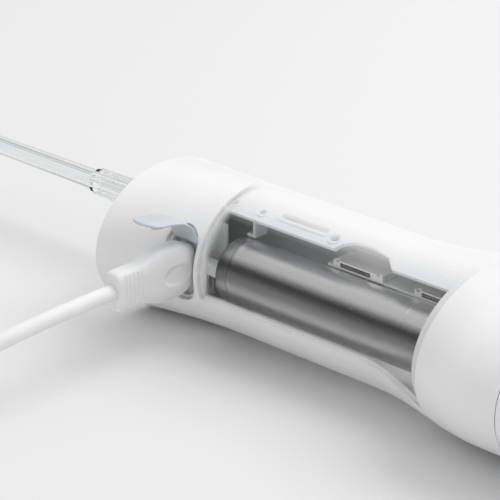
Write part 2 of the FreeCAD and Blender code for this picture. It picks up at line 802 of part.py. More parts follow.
def leads(y, z, x0, spread):
    """Two wires that run back through the bulkhead and turn to the control board."""
    wires = []
    for side in (-1, 1):
        height = z + side * spread
        tube, _, _ = lead([(x0, y, height), (control_front + 3, y, height),
                           (control_front + 3, control_y, height)], 0.55)
        wires.append(tube)
    return Part.makeCompound(wires)


# ---- charging port ----
def port_cup():
    cup = slot_y(port_wide - 2 * seat_gap, port_high - 2 * seat_gap, -30, port_floor_y + port_floor,
                 port_x, port_z)
    cup = cup.common(skin(10, front_end, flap_thick + 0.35))
    well = slot_y(port_wide - 2 * port_lip, port_high - 2 * port_lip, -40, port_floor_y, port_x, port_z)
    mouth = slot_y(usb_high, usb_wide, -40, 0, port_x, plug_z)
    cup = cup.cut(well).cut(mouth)
    room = Part.makeCylinder(barrel_r + move_gap, port_wide * 2, V(port_x - port_wide, hinge_y, hinge_z),
                             V(1, 0, 0))
    cheeks = block(port_x - neck_wide / 2 - move_gap, port_x + neck_wide / 2 + move_gap, -30, 0, -20, 20)
    cup = cup.cut(room.common(cheeks))
    return cup.cut(Part.makeCylinder(pin_r, 40, V(0, hinge_y, hinge_z), V(1, 0, 0)))


def flap_pin():
    half = neck_wide / 2 + 1.1
    return Part.makeCylinder(pin_r, 2 * half, V(port_x - half, hinge_y, hinge_z), V(1, 0, 0))


def port_flap():
    foot = port_z - port_high / 2 + move_gap
    leaf = slot_y(port_wide - 2 * move_gap, leaf_high, -30, 0, port_x, foot + leaf_high / 2)
    neck_low = foot + leaf_high / 2
    leaf = leaf.fuse(block(port_x - neck_wide / 2, port_x + neck_wide / 2, -30, 0, neck_low, hinge_z - 0.4))
    leaf = leaf.common(skin(10, front_end, 0.05).cut(skin(9, front_end + 1, 0.05 + flap_thick)))
    half = neck_wide / 2
    barrel = Part.makeCylinder(barrel_r, 2 * half, V(port_x - half, hinge_y, hinge_z), V(1, 0, 0))
    neck = block(port_x - half, port_x + half, hinge_y - 0.9, hinge_y + 0.1, hinge_z - 2.4, hinge_z)
    boss = slot_y(3.0, 6.0, -22.5, hinge_y, port_x, port_z - 1.0)
    boss = boss.common(skin(10, front_end, 0.5))
    flap = fuse(leaf, barrel, neck, boss)
    flap = flap.cut(Part.makeCylinder(pin_r + run_gap, 40, V(0, hinge_y, hinge_z), V(1, 0, 0)))
    flap.rotate(V(0, hinge_y, hinge_z), V(-1, 0, 0), flap_open)
    return flap


def usb_receptacle():
    y0 = port_floor_y + 0.1
    outer = slot_y(usb_high - 0.1, usb_wide - 0.1, y0, receptacle_end, port_x, plug_z)
    return outer.cut(slot_y(usb_high - 0.5, usb_wide - 0.5, y0 - 1, receptacle_end - 0.6, port_x, plug_z))


def charge_board():
    y = receptacle_end
    board = block(port_x - 5.6, port_x + 6.4, y, y + board_thick, port_z - 10, port_z + 10)
    return board


# ---- charging lead ----
def plug_section(y, thick, high, r):
    """A rounded rectangle across Y, thick along X and high along Z."""
    face = Part.makePlane(thick, high, V(port_x - thick / 2, y, plug_z + high / 2), V(0, -1, 0), V(1, 0, 0))
    corners = face.Vertexes
    x0 = port_x - thick / 2
    x1 = port_x + thick / 2
    z0 = plug_z - high / 2
    z1 = plug_z + high / 2
    k = r * (1 - math.sqrt(0.5))
    lines = [((x0 + r, z0), (x1 - r, z0)), ((x1, z0 + r), (x1, z1 - r)), ((x1 - r, z1), (x0 + r, z1)),
             ((x0, z1 - r), (x0, z0 + r))]
    mids = [(x1 - k, z0 + k), (x1 - k, z1 - k), (x0 + k, z1 - k), (x0 + k, z0 + k)]
    edges = []
    for i, (start, end) in enumerate(lines):
        after = lines[(i + 1) % 4][0]
        edges.append(Part.LineSegment(V(start[0], y, start[1]), V(end[0], y, end[1])).toShape())
        edges.append(Part.Arc(V(end[0], y, end[1]), V(mids[i][0], y, mids[i][1]),
                              V(after[0], y, after[1])).toShape())
    return Part.Wire(edges)


def plug_body():
    widths = [(0.0, 5.2, 9.6, 2.3), (0.7, 6.3, 10.9, 2.9), (2.0, 6.6, 11.4, 3.0), (9.0, 6.6, 11.6, 3.0),
              (12.0, 6.8, 13.2, 3.0), (15.0, 7.0, 15.2, 3.1), (18.5, 7.0, 15.9, 3.1),
              (24.0, 7.0, 15.9, 3.1), (26.4, 6.8, 13.4, 3.0), (28.7, 6.0, 12.1, 2.6)]
    body = Part.makeLoft([plug_section(plug_rear + along, t, h, r) for along, t, h, r in widths], True, False)
    for i in range(grip_grooves):
        y = plug_rear + 2.4 + groove_pitch * i
        for side in (-1, 1):
            groove = slot_y(1.4, 9.0, y - 0.35, y + 0.35, port_x + side * 3.65, plug_z)
            body = body.cut(groove)
    for side in (-1, 1):
        pad = Part.makeCylinder(2.4, 1.0, V(0, 0, 0), V(1, 0, 0))
        stretch = FreeCAD.Matrix()
        stretch.A22 = 2.0
        pad = pad.transformGeometry(stretch)
        pad.translate(V(port_x + side * 3.0 - 0.3 + side * 0.3, plug_rear + 20.5, plug_z - 0.4))
        body = body.fuse(pad)
    return body.removeSplitter()


def plug_shell():
    outer = slot_y(shell_high, shell_wide, plug_rear + 28.7, shell_end, port_x, plug_z)
    return outer.cut(slot_y(shell_high - 0.7, shell_wide - 0.7, plug_rear + 29.7, 0, port_x, plug_z))


def coil_solid():
    inner = coil_r - coil_turn - cord_d / 2
    outer = coil_r + coil_turn + cord_d / 2
    high = 2 * cord_d + 0.1
    ring = Part.makeCylinder(outer, high, V(coil_x, coil_y, floor_z + 0.05))
    ring = ring.cut(Part.makeCylinder(inner, 40, V(coil_x, coil_y, floor_z - 10)))
    return ring.makeFillet(1.9, ring.Edges)


def cord_tie():
    """A flat strap round the coil's turns, on the side away from the lead."""
    inner = coil_r - coil_turn - cord_d / 2 - 0.3
    outer = coil_r + coil_turn + cord_d / 2 + 0.3
    low = floor_z
    high = floor_z + 2 * cord_d + 0.45
    band = block(coil_x - tie_wide / 2, coil_x + tie_wide / 2, coil_y + inner - tie_thick,
                 coil_y + outer + tie_thick, low, high + tie_thick)
    hole = block(coil_x - tie_wide, coil_x + tie_wide, coil_y + inner, coil_y + outer, low - 1, high)
    return band.cut(hole)


def tail_route():
    """From the coil's last turn to the far plug: it leaves on the tip side, heading +Y."""
    x = coil_x - coil_r - coil_turn
    z = cord_z + cord_d
    end = floor_z + far_high / 2
    return [(x, coil_y, z), (x - 0.4, coil_y + 10, z - 0.2), (x - 0.6, coil_y + 20, (z + end) / 2),
            (x - 0.6, coil_y + 30, end)]


def far_plug_body():
    x, y, z = tail_route()[-1]
    body = block(x - far_wide / 2, x + far_wide / 2, y, y + far_long, z - far_high / 2, z + far_high / 2)
    body = body.makeFillet(2.6, [e for e in body.Edges if e.BoundBox.YLength > 5])
    rear = [e for e in body.Edges if e.BoundBox.YMax < y + 0.01]
    body = body.makeChamfer(1.0, rear)
    for i in range(4):
        for side in (-1, 1):
            centre = V(x - 5, y + 4 + 1.8 * i, z + side * (far_high / 2 + 0.15))
            body = body.cut(Part.makeCylinder(0.45, 10, centre, V(1, 0, 0)))
    return body


def far_plug_shell():
    x, y, z = tail_route()[-1]
    y += far_long
    half_wide = far_shell_wide / 2
    half_high = far_shell_high / 2
    outer = block(x - half_wide, x + half_wide, y, y + far_shell_long, z - half_high, z + half_high)
    inner = block(x - half_wide + 0.4, x + half_wide - 0.4, y + 1, y + far_shell_long + 1,
                  z + 0.1, z + half_high - 0.4)
    for side in (-1, 1):
        hole = block(x + side * 3.0 - 1.2, x + side * 3.0 + 1.2, y + 8, y + 10.4, z, z + 9)
        outer = outer.cut(hole)
    return outer.cut(inner)


cord, cord_radii, cord_length = lead(cord_route, cord_d / 2)
tail, tail_radii, tail_length = lead(tail_route(), cord_d / 2)
coil_length = 4.25 * 2 * math.pi * coil_r
for name, solid, length, radii in (("lead", cord, cord_length, cord_radii),
                                   ("tail", tail, tail_length, tail_radii)):
    expected = math.pi * cord_d * cord_d / 4 * length
    print(name, "length", round(length, 1), "radii", [round(r, 1) for r in radii],
          "volume / expected", round(solid.Volume / expected, 4))
print("whole lead", round(cord_length + coil_length + tail_length, 1), "mm")

nodes = {
    "head_cap": head_cap(),
    "front_casing": front_casing(),
    "window_sleeve": window_sleeve(),
    "rear_casing": rear_casing(),
    "tank_deck": tank_deck(),
    "deck_screws": deck_screws(),
    "tank_seal": tank_seal(),
    "water_tank": water_tank(),
    "base_pad": base_pad(),
    "fill_lid": fill_lid(),
    "lid_seal": lid_seal(),
    "fill_lid_pin": fill_lid_pin(),
    "tip_nozzle": tip_nozzle(),
    "tip_seal_ring": tip_seal_ring(),
    "tip_dial": tip_dial(),
    "tip_socket": tip_socket(),
    "pump_body": pump_body(),
    "diaphragm": diaphragm(),
    "pump_frame": pump_frame(),
    "wobble_plate": wobble_plate(),
    "eccentric": eccentric(),
    "motor_shaft": motor_shaft(),
    "motor_can": motor_can(),
    "motor_endcap": motor_endcap(),
    "damper_sleeve": damper_sleeve(),
    "outlet_hose": outlet_hose(),
    "suction_hose": suction_hose(),
    "suction_tube": suction_tube(),
    "suction_filter": suction_filter(),
    "battery_cell": cell(),
    "cell_tab_front": cell_tab_front(),
    "cell_cup": cell_cup(),
    "terminal_block": terminal_block(),
    "cell_stop": cell_stop(),
    "chassis": chassis(),
    "bulkhead": bulkhead(),
    "power_board": power_board(),
    "connector_front": connector(block_starts[0]),
    "connector_rear": connector(block_starts[1]),
    "connector_rails": connector_rails(),
    "control_board": control_board(),
    "tact_switches": tact_switches(),
    "power_button": button(power_x, power_r),
    "mode_button": button(mode_x, mode_r),
    "light_pipe": light_pipe(),
    "motor_leads": leads(drive_y, drive_z, motor_end + endcap_thick, 1.6),
    "cell_leads": leads(cell_y, 0.0, cell_front + cell_long + tab_thick, 4.0),
    "port_cup": port_cup(),
    "port_flap": port_flap(),
    "flap_pin": flap_pin(),
    "usb_receptacle": usb_receptacle(),
    "charge_board": charge_board(),
    "plug_body": plug_body(),
    "plug_shell": plug_shell(),
    "charging_cord": cord,
    "cord_coil": coil_solid(),
    "cord_tie": cord_tie(),
    "cord_tail": tail,
    "far_plug_body": far_plug_body(),
    "far_plug_shell": far_plug_shell(),
}
lead_nodes = ("plug_body", "plug_shell", "charging_cord", "cord_coil", "cord_tie", "cord_tail",
              "far_plug_body", "far_plug_shell")

# the origin goes under the middle of the object, without its lead, on the surface it lies on
extent = Part.makeCompound([s for n, s in nodes.items() if n not in lead_nodes])
extent = extent.optimalBoundingBox(False, False)
place = V(-(extent.XMin + extent.XMax) / 2, -(extent.YMin + extent.YMax) / 2, -extent.ZMin)
print("moved by", round(place.x, 4), round(place.y, 4), round(place.z, 4))

os.makedirs("parts", exist_ok=True)
for name, shape in nodes.items():
    shape.translate(place)
    if not shape.isValid() or shape.Volume <= 0:
        print("bad solid", name, shape.isValid(), shape.Volume)
    shape.exportStep("parts/" + name + ".step")
print(len(nodes), "nodes")
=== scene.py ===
import bpy
import json
import math
import numpy as np
from mathutils import Matrix, Vector


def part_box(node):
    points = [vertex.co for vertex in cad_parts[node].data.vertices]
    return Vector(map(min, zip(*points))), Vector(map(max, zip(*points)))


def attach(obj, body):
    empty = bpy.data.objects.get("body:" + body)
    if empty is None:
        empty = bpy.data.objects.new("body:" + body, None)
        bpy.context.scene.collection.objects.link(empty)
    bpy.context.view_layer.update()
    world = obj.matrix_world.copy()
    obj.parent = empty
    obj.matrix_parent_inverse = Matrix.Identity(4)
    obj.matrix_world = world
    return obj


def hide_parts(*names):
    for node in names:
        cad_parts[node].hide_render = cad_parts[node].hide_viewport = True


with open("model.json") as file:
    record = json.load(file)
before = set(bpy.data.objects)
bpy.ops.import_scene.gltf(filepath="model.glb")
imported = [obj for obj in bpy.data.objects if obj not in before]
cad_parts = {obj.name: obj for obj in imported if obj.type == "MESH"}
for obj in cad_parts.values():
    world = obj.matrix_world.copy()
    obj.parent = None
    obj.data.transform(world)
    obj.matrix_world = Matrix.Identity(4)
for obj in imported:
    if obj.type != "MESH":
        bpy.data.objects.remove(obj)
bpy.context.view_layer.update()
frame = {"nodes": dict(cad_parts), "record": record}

# Sizes below are in millimetres from the middle of the head's rim, as the cleaner is drawn:
# x runs along the handle, -y is the side with the port, z is up.
mm = 0.001
handleRadius = 21.0
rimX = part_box("front_casing")[0].x
sleeveLow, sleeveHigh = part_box("window_sleeve")
origin = np.array([rimX, (sleeveLow.y + sleeveHigh.y) / 2, sleeveLow.z + handleRadius * mm])


def toRow(points):
    # row point = origin + millimetres / 1000
    return np.asarray(points, float) * mm + origin


# ---------- camera ----------
cameraView = {"azimuth": 44.2, "elevation": 22.6, "away": 743.0, "right": 21.9, "up": -6.66, "lens": 187.0}


def aimCamera(v):
    a, e = math.radians(v["azimuth"]), math.radians(v["elevation"])
    right = Vector((math.cos(a), math.sin(a), 0))
    back = Vector((math.sin(a) * math.cos(e), -math.cos(a) * math.cos(e), math.sin(e)))
    up = back.cross(right)
    camera = bpy.data.objects.new("camera", bpy.data.cameras.new("camera"))
    bpy.context.scene.collection.objects.link(camera)
    offset = back * v["away"] + right * v["right"] + up * v["up"]
    turn = Matrix((right, up, back)).transposed().to_4x4()
    camera.matrix_world = Matrix.Translation(Vector(toRow((0, 0, 0))) + offset * mm) @ turn
    camera.data.lens = v["lens"]
    camera.data.sensor_width = 36.0
    camera.data.clip_start, camera.data.clip_end = 0.02, 20.0
    bpy.context.scene.camera = camera


aimCamera(cameraView)
bpy.context.scene.view_settings.view_transform = "Standard"
print("camera placed")

# ---------- surfaces ----------


def roundCorners(corners, radius, steps=4, ring=False):
    # corner p becomes (1-t)^2 a + 2t(1-t) p + t^2 b, with a and b on its two sides, radius away
    corners = np.asarray(corners, float)
    before, after = np.roll(corners, 1, axis=0) - corners, np.roll(corners, -1, axis=0) - corners
    reach = [np.minimum(radius, 0.45 * np.linalg.norm(v, axis=1))[:, None] for v in (before, after)]
    a, b = [corners + v / np.maximum(np.linalg.norm(v, axis=1), 1e-9)[:, None] * r
            for v, r in zip((before, after), reach)]
    t = np.linspace(0, 1, steps + 1)[None, :, None]
    curves = (1 - t) ** 2 * a[:, None] + 2 * t * (1 - t) * corners[:, None] + t ** 2 * b[:, None]
    if ring:
        return curves.reshape(-1, corners.shape[1])
    inner = curves[1:-1].reshape(-1, corners.shape[1])
    return np.vstack([corners[:1], inner, corners[-1:]])


def addStations(line, step):
    # keeps every point of the line and adds more, no further apart than step
    gaps = np.linalg.norm(np.diff(line, axis=0), axis=1)
    along = np.concatenate([[0], np.cumsum(gaps)])
    stations = np.unique(np.round(np.concatenate([along, np.arange(0, along[-1], step)]), 5))
    return np.stack([np.interp(stations, along, line[:, k]) for k in range(line.shape[1])], 1)


def makePiece(name, grid, body, slotName, ring=False, replaced=()):
    # grid is rows x columns x 3 in millimetres; columns close on themselves, and so do rows in a ring,
    # or else each end row is closed by a fan round its middle
    rows, columns = grid.shape[:2]
    points = grid.reshape(-1, 3)
    index = np.arange(rows * columns).reshape(rows, columns)
    side = np.roll(index, -1, axis=1)
    quads = np.stack([index, side, np.roll(side, -1, axis=0), np.roll(index, -1, axis=0)], -1)
    quads = quads[:rows if ring else rows - 1].reshape(-1, 4)
    triangles = np.concatenate([quads[:, :3], quads[:, [0, 2, 3]]])
    fans = np.zeros((0, 3), int)
    if not ring:
        points = np.vstack([points, grid[0].mean(0), grid[-1].mean(0)])
        first, last = np.full(columns, rows * columns), np.full(columns, rows * columns + 1)
        startFan = np.stack([first, side[0], index[0]], 1)
        endFan = np.stack([last, index[-1], side[-1]], 1)
        fans = np.concatenate([startFan, endFan])
        triangles = np.concatenate([triangles, fans])
    a, b, c = (points[triangles[:, k]] for k in range(3))
    if np.einsum("ij,ij->", a, np.cross(b, c)) < 0:
        quads, fans = quads[:, ::-1], fans[:, ::-1]
    data = bpy.data.meshes.new(name)
    data.from_pydata(toRow(points).tolist(), [], quads.tolist() + fans.tolist())
    data.shade_smooth()
    piece = bpy.data.objects.new(name, data)
    bpy.context.scene.collection.objects.link(piece)
    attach(piece, body)
    if replaced:
        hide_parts(*replaced)
    newPieces.append((piece, slotName))
    return piece


def turned(profile, y, z, columns, bulge=None):
    # x = px, y = cy + r cos(a), z = cz + r sin(a), with r = pr + bulge(px, a)
    angle = np.linspace(0, 2 * math.pi, columns, endpoint=False)[None, :]
    x = profile[:, :1] + 0 * angle
    r = profile[:, 1:] + 0 * angle
    if bulge is not None:
        r = r + bulge(profile, angle)
    return np.stack([x, y + r * np.cos(angle), z + r * np.sin(angle)], -1)


def smoothStep(value, low, high):
    t = np.clip((value - low) / (high - low), 0, 1)
    return t * t * (3 - 2 * t)


def ovalRing(halfWide, halfHigh, power, columns):
    # superellipse |u / halfWide|^n + |v / halfHigh|^n = 1, one ring for each row
    angle = np.linspace(0, 2 * math.pi, columns, endpoint=False)[None, :]
    c, s = np.cos(angle), np.sin(angle)
    u = np.asarray(halfWide)[:, None] * np.sign(c) * np.abs(c) ** (2 / power)
    v = np.asarray(halfHigh)[:, None] * np.sign(s) * np.abs(s) ** (2 / power)
    return u, v


newPieces = []

# ---------- tip ----------
tip = {"y": 8.0, "z": 1.0, "bore": 1.3, "stem": 3.0, "stemEnd": 10.0, "dialFront": -7.2, "collar": 3.4,
       "collarFlare": 0.6, "collarEnd": -41.5, "tube": 3.1, "tubeEnd": 2.75, "nozzleStart": -90.0,
       "nozzle": 1.7, "end": -102.0, "endRound": 0.8, "endFlat": 0.5, "jetLong": 7, "collarStep": 0.7,
       "flutes": 12, "fluteHigh": 0.62, "flutePower": 0.7, "fluteStart": (0.4, 1.6), "fluteStop": 9.0,
       "fluteClear": 0.2, "round": 0.35}


def buildTip(t):
    corners = [(t["end"], 0.45 * t["bore"]), (t["end"], t["nozzle"] - t["endFlat"]),
               (t["end"] + t["endRound"], t["nozzle"]), (t["nozzleStart"], t["tubeEnd"]),
               (t["collarEnd"], t["tube"]), (t["collarEnd"] + t["collarStep"], t["collar"]),
               (t["dialFront"], t["collar"] + t["collarFlare"]), (t["dialFront"], t["stem"]),
               (t["stemEnd"], t["stem"]), (t["stemEnd"], t["bore"]), (t["end"] + t["jetLong"], t["bore"])]
    profile = roundCorners(corners, t["round"], ring=True)
    profile = addStations(np.vstack([profile, profile[:1]]), 0.9)[:-1]

    def flutes(line, angle):
        # lobes h |cos(n a / 2)|^0.7 on the collar, fading in at its end and out at the dial
        x, r = line[:, :1], line[:, 1:]
        fadeIn, fadeFull = t["fluteStart"]
        held = smoothStep(x, t["collarEnd"] + fadeIn, t["collarEnd"] + fadeFull)
        held = held * smoothStep(-x, -t["dialFront"], t["fluteStop"])
        outside = r > t["stem"] + t["fluteClear"]
        lobes = np.abs(np.cos(t["flutes"] * angle / 2)) ** t["flutePower"]
        return t["fluteHigh"] * held * outside * lobes

    makePiece("spray_tip", turned(profile, t["y"], t["z"], 144, flutes), "tip", "clear_tip", ring=True,
              replaced=("tip_nozzle",))


buildTip(tip)

# ---------- cell ----------
cell = {"y": -9.0, "z": 0.0, "radius": 9.2, "front": 34.8, "long": 65.0, "crimpAt": 4.2, "crimpWide": 0.9,
        "crimpDeep": 0.45, "lip": 0.12, "lipFoot": 0.45, "lipTop": 0.2, "faceStep": 0.4, "faceRadius": 7.6,
        "faceSlope": 0.3, "pole": 0.02, "round": 0.45}


def buildCell(c):
    x0, x1, r = c["front"], c["front"] + c["long"], c["radius"]
    at, after = x0 + c["crimpAt"], x0 + c["crimpAt"] + c["crimpWide"]
    foot, top, pole = c["lipFoot"], c["lipTop"], c["pole"]
    corners = [(x0 + c["faceStep"], pole), (x0 + c["faceStep"], c["faceRadius"]),
               (x0, c["faceRadius"] + c["faceSlope"]), (x0, r), (at - foot, r), (at - top, r + c["lip"]),
               (at, r - c["crimpDeep"]), (after, r - c["crimpDeep"]), (after + top, r + c["lip"]),
               (after + foot, r), (x1, r), (x1, pole)]
    profile = addStations(roundCorners(corners, c["round"], steps=5), 1.5)
    makePiece("bare_cell", turned(profile, c["y"], c["z"], 128), "housing", "steel_can",
              replaced=("battery_cell",))


buildCell(cell)

# ---------- plug ----------
plug = {"x": 24.6, "z": 1.6, "rear": -47.0, "power": 3.6,
        "along": (0.0, 0.7, 2.0, 9.0, 12.0, 15.0, 18.5, 24.0, 26.4, 28.7),
        "thick": (5.6, 6.4, 6.6, 6.6, 6.8, 7.0, 7.0, 7.0, 6.8, 6.2),
        "high": (10.2, 11.2, 11.5, 11.7, 13.2, 15.3, 16.0, 15.9, 13.6, 12.2),
        "grooves": 5, "grooveFirst": 2.6, "groovePitch": 1.45, "grooveWide": 0.42, "grooveDeep": 0.38,
        "padAlong": 21.5, "padLong": 5.4, "padHigh": 2.9, "padDeep": 0.55, "padDrop": 0.4, "padEdge": 0.72,
        "faceFrom": 1.6, "faceFull": 2.6, "grooveEnds": (4.2, 4.9), "smoothOver": 11,
        "rearLong": 0.7, "rearShrink": 0.1, "frontLong": 0.6, "frontShrink": 0.08}


def buildPlug(p):
    s = np.linspace(0, p["along"][-1], 200)

    def eased(values):
        # the widths joined by straight lines, then a running average over about 1.6 mm
        line = np.interp(s, p["along"], values)
        width = p["smoothOver"]
        return np.convolve(np.pad(line, width // 2, mode="edge"), np.ones(width) / width, mode="valid")

    rearEdge = np.clip(1 - s / p["rearLong"], 0, 1) ** 2
    frontEdge = np.clip(1 - (s[-1] - s) / p["frontLong"], 0, 1) ** 2
    ends = 1 - p["rearShrink"] * rearEdge - p["frontShrink"] * frontEdge
    u, v = ovalRing(eased(p["thick"]) / 2 * ends, eased(p["high"]) / 2 * ends, p["power"], 160)
    y = s[:, None] + 0 * u
    first = p["grooveFirst"] + p["groovePitch"] * np.arange(p["grooves"])
    dips = np.exp(-((s[:, None] - first[None, :]) / p["grooveWide"]) ** 2 * 2).sum(1)[:, None]
    # grooves and thumb pad are pressed into the two broad faces only
    onSide = smoothStep(np.abs(u), p["faceFrom"], p["faceFull"])
    onSide = onSide * (1 - smoothStep(np.abs(v), *p["grooveEnds"]))
    thumb = ((y - p["padAlong"]) / p["padLong"]) ** 2 + ((v + p["padDrop"]) / p["padHigh"]) ** 2
    pad = (1 - smoothStep(thumb, p["padEdge"], 1.0)) * (np.abs(u) > p["faceFrom"])
    sunk = p["grooveDeep"] * dips * onSide + p["padDeep"] * pad
    u = u - np.sign(u) * sunk
    grid = np.stack([p["x"] + u, p["rear"] + y, p["z"] + v], -1)
    return makePiece("plug_grip", grid, "lead", "soft_white", replaced=("plug_body",))


plugGrip = buildPlug(plug)

# ---------- port flap ----------
flap = {"x": 24.6,
        "line": [(-18.6, 9.4), (-19.6, 11.4), (-21.2, 14.2), (-24.0, 16.4), (-28.5, 17.4),
                 (-32.5, 17.9), (-36.8, 18.6)],
        "halfWide": 4.9, "thick": 1.15, "rootThick": 2.0, "crown": 0.35, "bossAt": (-29.0, 16.7),
        "bossLong": 3.0, "bossWide": 1.5, "bossHigh": 1.5, "bend": 2.4, "rootLong": 3.5, "edge": 0.35}


def buildFlap(f):
    # a leaf swept along a smooth line in the YZ plane; its half width is w sqrt(1 - q^2) over the round end
    bend = roundCorners(f["line"], f["bend"], steps=8)
    line = addStations(bend, 0.35)
    run = np.concatenate([[0], np.cumsum(np.linalg.norm(np.diff(line, axis=0), axis=1))])
    ahead = np.gradient(line, run, axis=0)
    ahead /= np.linalg.norm(ahead, axis=1)[:, None]
    normal = np.stack([ahead[:, 1], -ahead[:, 0]], 1)
    q = np.clip((run - run[-1] + f["halfWide"]) / f["halfWide"], 0, 0.9995)
    halfWide = f["halfWide"] * np.sqrt(1 - q ** 2)
    thick = f["rootThick"] + (f["thick"] - f["rootThick"]) * smoothStep(run, 0, f["rootLong"])
    thick = thick * (f["edge"] + (1 - f["edge"]) * np.sqrt(1 - q ** 8))
    u, v = ovalRing(halfWide, thick / 2, 3.2, 64)
    v = v - f["crown"] * (u / f["halfWide"]) ** 2
    grid = np.stack([f["x"] + u, line[:, :1] + normal[:, :1] * v, line[:, 1:] + normal[:, 1:] * v], -1)
    makePiece("flap_leaf", grid, "flap", "soft_rubber", replaced=("port_flap",))
    # the boss that seals the port is a short oval pillar with rounded ends
    rise = np.array([0.0, 0.0, 0.15, 0.45, 0.9, 1.0])
    size = np.array([0.55, 0.85, 0.98, 1.0, 1.0, 1.0])
    u, v = ovalRing(f["bossWide"] * size, f["bossLong"] * size, 2.0, 40)
    z = f["bossAt"][1] - f["bossHigh"] * (1 - rise[:, None]) + 0 * u
    makePiece("flap_boss", np.stack([f["x"] + u, f["bossAt"][0] + v, z], -1), "flap", "soft_rubber")


buildFlap(flap)
print("tip, cell, plug and flap built")

# ---------- charging lead ----------
lead = {
    "diameter": 4.5,
    "exit": (24.6, -47.0, 1.6),
    "route": [(24.6, -47, 1.6), (24.5, -63, 1.3), (24.0, -83, -0.1), (20.0, -104, -5.0), (7.0, -120, -12.4),
              (-13, -125, -18.1), (-31, -122.2, -18.7)],
    "coilCentre": (-42.0, -90.0),
    "coilOuter": 29.25,
    "coilInner": 20.25,
    "pointsPerTurn": 14,
    "turns": 4.25,
    "climbAt": 2,
    "climbTurns": 0.25,
    "floorGap": 0.05,
    "length": 0.82,
    "tail": [(-71.65, -80, -14.4), (-71.85, -70, -15.6), (-71.85, -60, -17.0)],
}


def coilPoints(c):
    # radius runs outer to inner over two turns, the lead climbs one diameter over a quarter turn,
    # and runs inner to outer over two more: x = cx + r cos(a), y = cy + r sin(a)
    # a NURBS line of order 3 lies inside its control points by cos of half a step
    turns = np.arange(0, c["turns"] + 1e-6, 1 / c["pointsPerTurn"])
    climbed = c["climbAt"] + c["climbTurns"]
    drop = c["coilOuter"] - c["coilInner"]
    inward = np.clip(turns / c["climbAt"], 0, 1) - np.clip((turns - climbed) / c["climbAt"], 0, 1)
    climb = np.clip((turns - c["climbAt"]) / c["climbTurns"], 0, 1)
    grow = 1 / (0.75 + 0.25 * math.cos(2 * math.pi / c["pointsPerTurn"]))
    radius = (c["coilOuter"] - drop * inward) * grow
    angle = math.radians(-90) - 2 * math.pi * turns
    z = -handleRadius + c["diameter"] / 2 + c["floorGap"] + climb * c["diameter"]
    x = c["coilCentre"][0] + radius * np.cos(angle)
    y = c["coilCentre"][1] + radius * np.sin(angle)
    return np.stack([x, y, z], 1).tolist()


def cordCurve(name, points, diameter):
    data = bpy.data.curves.new(name, "CURVE")
    data.dimensions = "3D"
    spline = data.splines.new("NURBS")
    spline.points.add(len(points) - 1)
    for knot, p in zip(spline.points, toRow(points)):
        knot.co = (*p, 1.0)
        knot.radius = diameter * mm / 2    # the bevel is one metre deep and each point scales it
    spline.order_u = 3
    spline.use_endpoint_u = True
    spline.resolution_u = 6
    data.bevel_depth = 1.0
    data.bevel_resolution = 6
    data.use_fill_caps = True
    piece = bpy.data.objects.new(name, data)
    bpy.context.scene.collection.objects.link(piece)
    return piece


chargingLead = cordCurve("charging_lead", lead["route"] + coilPoints(lead) + lead["tail"], lead["diameter"])
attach(chargingLead, "lead")
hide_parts("charging_cord", "cord_coil", "cord_tail")
print("lead laid")

# ---------- materials ----------


def makeGroup(name, inputs, outputs):
    tree = bpy.data.node_groups.new(name, "ShaderNodeTree")
    for label, kind in inputs:
        tree.interface.new_socket(name=label, in_out="INPUT", socket_type=kind)
    for label, kind in outputs:
        tree.interface.new_socket(name=label, in_out="OUTPUT", socket_type=kind)
    return tree, tree.nodes.new("NodeGroupInput"), tree.nodes.new("NodeGroupOutput")


def addNode(tree, kind, links=None, **values):
    # values set inputs by name, links join other nodes' outputs to inputs by name
    node = tree.nodes.new(kind)
    for key, value in values.items():
        if hasattr(node, key):
            setattr(node, key, value)
        else:
            node.inputs[key.replace("_", " ")].default_value = value
    for key, socket in (links or {}).items():
        tree.links.new(socket, node.inputs[key])
    return node


def mathNode(tree, operation, *terms):
    node = tree.nodes.new("ShaderNodeMath")
    node.operation = operation
    for i, term in enumerate(terms):
        if isinstance(term, (int, float)):
            node.inputs[i].default_value = term
        else:
            tree.links.new(term, node.inputs[i])
    return node.outputs[0]


def mouldedGroup():
    # fine pebbled skin of a moulded surface and its slow drift in tone
    takes = [("Vector", "NodeSocketVector"), ("Grain", "NodeSocketFloat"), ("Patch", "NodeSocketFloat")]
    gives = [("Height", "NodeSocketFloat"), ("Drift", "NodeSocketFloat")]
    tree, start, end = makeGroup("mouldedSkin", takes, gives)
    grain = addNode(tree, "ShaderNodeTexNoise", {"Vector": start.outputs[0], "Scale": start.outputs[1]},
                    Detail=3.0, Roughness=0.55)
    patch = addNode(tree, "ShaderNodeTexNoise", {"Vector": start.outputs[0], "Scale": start.outputs[2]},
                    Detail=2.0, Roughness=0.5)
    tree.links.new(grain.outputs[0], end.inputs[0])
    tree.links.new(patch.outputs[0], end.inputs[1])
    return tree


